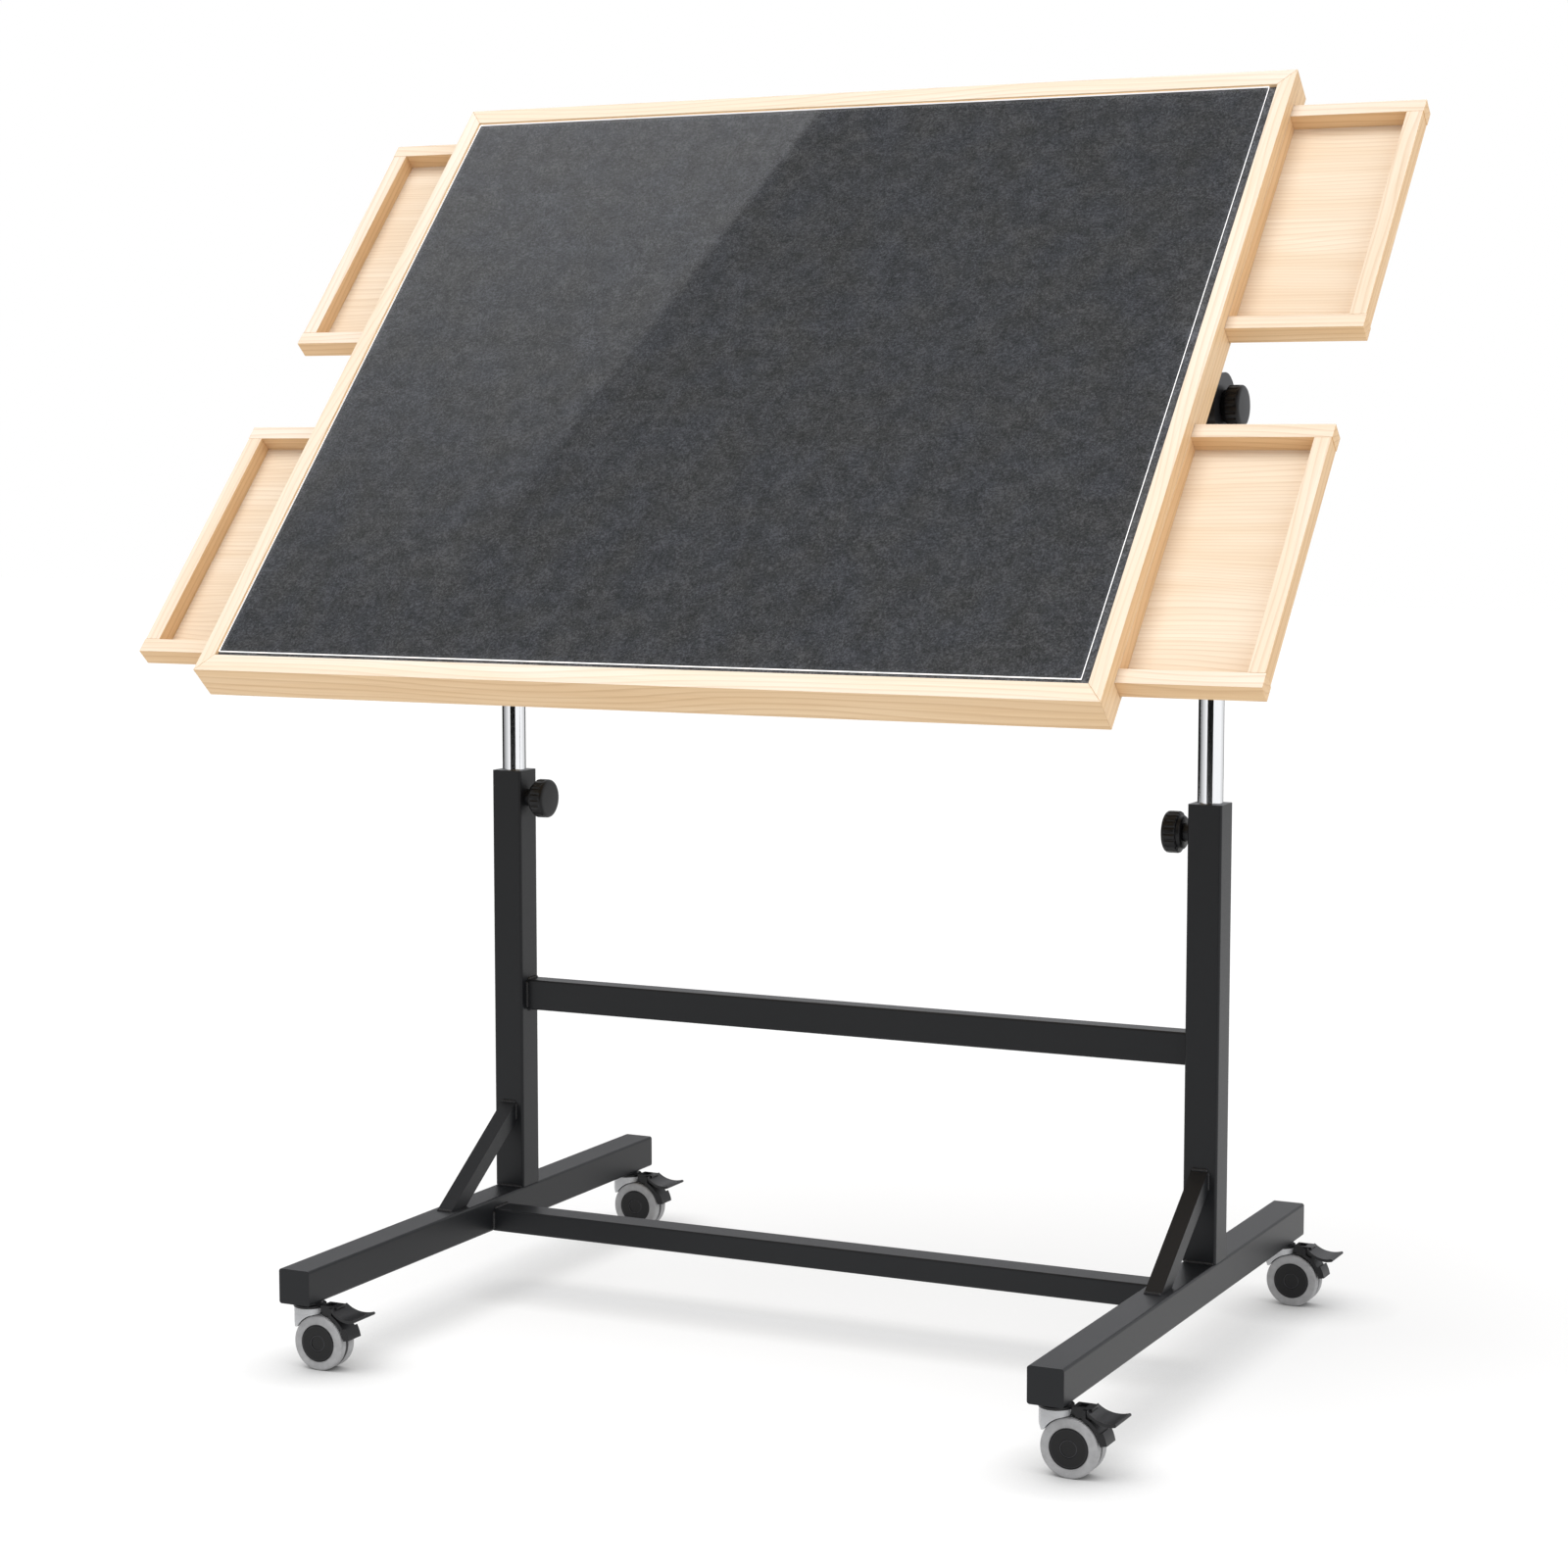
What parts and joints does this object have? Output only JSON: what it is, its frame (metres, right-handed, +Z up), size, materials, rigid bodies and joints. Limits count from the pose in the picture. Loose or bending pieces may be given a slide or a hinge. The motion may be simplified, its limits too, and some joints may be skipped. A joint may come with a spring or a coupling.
{
  "type": "jigsaw puzzle table",
  "caption": "Tilting wooden puzzle tray with felt, clear cover and side drawers, on a black height-adjustable stand with braked casters.",
  "frame": {"origin": "on the floor, under the middle of the whole table as it stands with its drawers pulled out", "axes": "+X to the right across the table, +Y to the rear, +Z up"},
  "size_m": [1.1004, 0.65, 1.1772],
  "materials": {
    "black_steel": "satin black powder coat",
    "chrome_tube": "bright chrome plate",
    "pale_wood": "clear matt lacquer",
    "drawer_wood": "clear matt lacquer",
    "plywood": "clear matt lacquer",
    "grey_felt": "heathered dark grey felt",
    "clear_acrylic": "clear, glossy",
    "black_plastic": "satin black plastic",
    "screw_steel": "zinc plated",
    "silver_housing": "silver grey paint",
    "grey_tyre": "matt grey rubber",
    "dark_hub": "dark moulded plastic"
  },
  "bodies": {
    "stand": {"left_foot_tube": "black_steel", "right_foot_tube": "black_steel", "foot_end_caps": "black_plastic", "left_post": "black_steel", "right_post": "black_steel", "upper_crossbar": "black_steel", "lower_crossbar": "black_steel", "left_brace": "black_steel", "right_brace": "black_steel", "post_guide_bushes": "black_plastic", "knob_bosses": "black_steel", "caster_stems": "screw_steel", "caster_swivel_caps": "black_plastic"},
    "risers": {"left_riser_tube": "chrome_tube", "right_riser_tube": "chrome_tube", "left_tilt_head": "black_plastic", "right_tilt_head": "black_plastic"},
    "tray": {"front_rail": "pale_wood", "back_rail": "pale_wood", "left_side_rail": "pale_wood", "right_side_rail": "pale_wood", "drawer_bay_posts": "pale_wood", "top_panel": "plywood", "felt_surface": "grey_felt", "bottom_panel": "plywood", "drawer_guides": "plywood", "mounting_blocks": "plywood", "left_tilt_bracket": "black_steel", "right_tilt_bracket": "black_steel", "bracket_screws": "screw_steel", "pivot_bolts": "screw_steel"},
    "cover": {"clear_cover": "clear_acrylic"},
    "left_front_drawer": {"left_front_drawer_frame": "drawer_wood", "left_front_drawer_floor": "drawer_wood"},
    "left_back_drawer": {"left_back_drawer_frame": "drawer_wood", "left_back_drawer_floor": "drawer_wood"},
    "left_height_knob": {"left_height_knob": "black_plastic"},
    "left_tilt_knob": {"left_tilt_knob": "black_plastic"},
    "right_front_drawer": {"right_front_drawer_frame": "drawer_wood", "right_front_drawer_floor": "drawer_wood"},
    "right_back_drawer": {"right_back_drawer_frame": "drawer_wood", "right_back_drawer_floor": "drawer_wood"},
    "right_height_knob": {"right_height_knob": "black_plastic"},
    "right_tilt_knob": {"right_tilt_knob": "black_plastic"},
    "front_left_caster_fork": {"front_left_caster_housing": "silver_housing"},
    "front_left_caster_wheels": {"front_left_caster_tyres": "grey_tyre", "front_left_caster_hubs": "dark_hub"},
    "front_left_caster_brake": {"front_left_caster_pedal": "black_plastic"},
    "back_left_caster_fork": {"back_left_caster_housing": "silver_housing"},
    "back_left_caster_wheels": {"back_left_caster_tyres": "grey_tyre", "back_left_caster_hubs": "dark_hub"},
    "back_left_caster_brake": {"back_left_caster_pedal": "black_plastic"},
    "front_right_caster_fork": {"front_right_caster_housing": "silver_housing"},
    "front_right_caster_wheels": {"front_right_caster_tyres": "grey_tyre", "front_right_caster_hubs": "dark_hub"},
    "front_right_caster_brake": {"front_right_caster_pedal": "black_plastic"},
    "back_right_caster_fork": {"back_right_caster_housing": "silver_housing"},
    "back_right_caster_wheels": {"back_right_caster_tyres": "grey_tyre", "back_right_caster_hubs": "dark_hub"},
    "back_right_caster_brake": {"back_right_caster_pedal": "black_plastic"}
  },
  "joints": [
    {"name": "height_slide", "type": "slide", "parent": "stand", "child": "risers", "axis": [0, 0, 1], "range_m": [-0.28, 0.04]},
    {"name": "tray_tilt", "type": "hinge", "parent": "risers", "child": "tray", "pos_m": [0.05275, 0.07, 0.8645], "axis": [1, 0, 0], "range_deg": [-47.5, 22.5]},
    {"name": "cover_lift", "type": "slide", "parent": "tray", "child": "cover", "axis": [0, -0.7373, 0.6756], "range_m": [0, 0.06]},
    {"name": "left_front_drawer_slide", "type": "slide", "parent": "tray", "child": "left_front_drawer", "axis": [-1, 0, 0], "range_m": [-0.0855, 0.0395]},
    {"name": "left_back_drawer_slide", "type": "slide", "parent": "tray", "child": "left_back_drawer", "axis": [-1, 0, 0], "range_m": [-0.0855, 0.0395]},
    {"name": "left_height_knob_turn", "type": "hinge", "parent": "stand", "child": "left_height_knob", "pos_m": [-0.28525, 0.07, 0.4835], "axis": [1, 0, 0], "range_deg": [-30, 330]},
    {"name": "left_tilt_knob_turn", "type": "hinge", "parent": "tray", "child": "left_tilt_knob", "pos_m": [-0.31725, 0.07, 0.8645], "axis": [1, 0, 0], "range_deg": [-30, 330]},
    {"name": "right_front_drawer_slide", "type": "slide", "parent": "tray", "child": "right_front_drawer", "axis": [1, 0, 0], "range_m": [-0.125, 0]},
    {"name": "right_back_drawer_slide", "type": "slide", "parent": "tray", "child": "right_back_drawer", "axis": [1, 0, 0], "range_m": [-0.125, 0]},
    {"name": "right_height_knob_turn", "type": "hinge", "parent": "stand", "child": "right_height_knob", "pos_m": [0.39075, 0.07, 0.4835], "axis": [1, 0, 0], "range_deg": [-30, 330]},
    {"name": "right_tilt_knob_turn", "type": "hinge", "parent": "tray", "child": "right_tilt_knob", "pos_m": [0.42275, 0.07, 0.8645], "axis": [1, 0, 0], "range_deg": [-30, 330]},
    {"name": "front_left_caster_swivel", "type": "hinge", "parent": "stand", "child": "front_left_caster_fork", "pos_m": [-0.30825, -0.3, 0.062], "axis": [0, 0, 1], "continuous": true},
    {"name": "front_left_caster_roll", "type": "hinge", "parent": "front_left_caster_fork", "child": "front_left_caster_wheels", "pos_m": [-0.29325, -0.3, 0.025], "axis": [0, 1, 0], "continuous": true},
    {"name": "front_left_caster_brake_press", "type": "hinge", "parent": "front_left_caster_fork", "child": "front_left_caster_brake", "pos_m": [-0.28625, -0.3, 0.054], "axis": [0, 1, 0], "range_deg": [0, 3.5]},
    {"name": "back_left_caster_swivel", "type": "hinge", "parent": "stand", "child": "back_left_caster_fork", "pos_m": [-0.30825, 0.3, 0.062], "axis": [0, 0, 1], "continuous": true},
    {"name": "back_left_caster_roll", "type": "hinge", "parent": "back_left_caster_fork", "child": "back_left_caster_wheels", "pos_m": [-0.29325, 0.3, 0.025], "axis": [0, 1, 0], "continuous": true},
    {"name": "back_left_caster_brake_press", "type": "hinge", "parent": "back_left_caster_fork", "child": "back_left_caster_brake", "pos_m": [-0.28625, 0.3, 0.054], "axis": [0, 1, 0], "range_deg": [0, 3.5]},
    {"name": "front_right_caster_swivel", "type": "hinge", "parent": "stand", "child": "front_right_caster_fork", "pos_m": [0.41375, -0.3, 0.062], "axis": [0, 0, 1], "continuous": true},
    {"name": "front_right_caster_roll", "type": "hinge", "parent": "front_right_caster_fork", "child": "front_right_caster_wheels", "pos_m": [0.42875, -0.3, 0.025], "axis": [0, 1, 0], "continuous": true},
    {"name": "front_right_caster_brake_press", "type": "hinge", "parent": "front_right_caster_fork", "child": "front_right_caster_brake", "pos_m": [0.43575, -0.3, 0.054], "axis": [0, 1, 0], "range_deg": [0, 3.5]},
    {"name": "back_right_caster_swivel", "type": "hinge", "parent": "stand", "child": "back_right_caster_fork", "pos_m": [0.41375, 0.3, 0.062], "axis": [0, 0, 1], "continuous": true},
    {"name": "back_right_caster_roll", "type": "hinge", "parent": "back_right_caster_fork", "child": "back_right_caster_wheels", "pos_m": [0.42875, 0.3, 0.025], "axis": [0, 1, 0], "continuous": true},
    {"name": "back_right_caster_brake_press", "type": "hinge", "parent": "back_right_caster_fork", "child": "back_right_caster_brake", "pos_m": [0.43575, 0.3, 0.054], "axis": [0, 1, 0], "range_deg": [0, 3.5]}
  ]
}
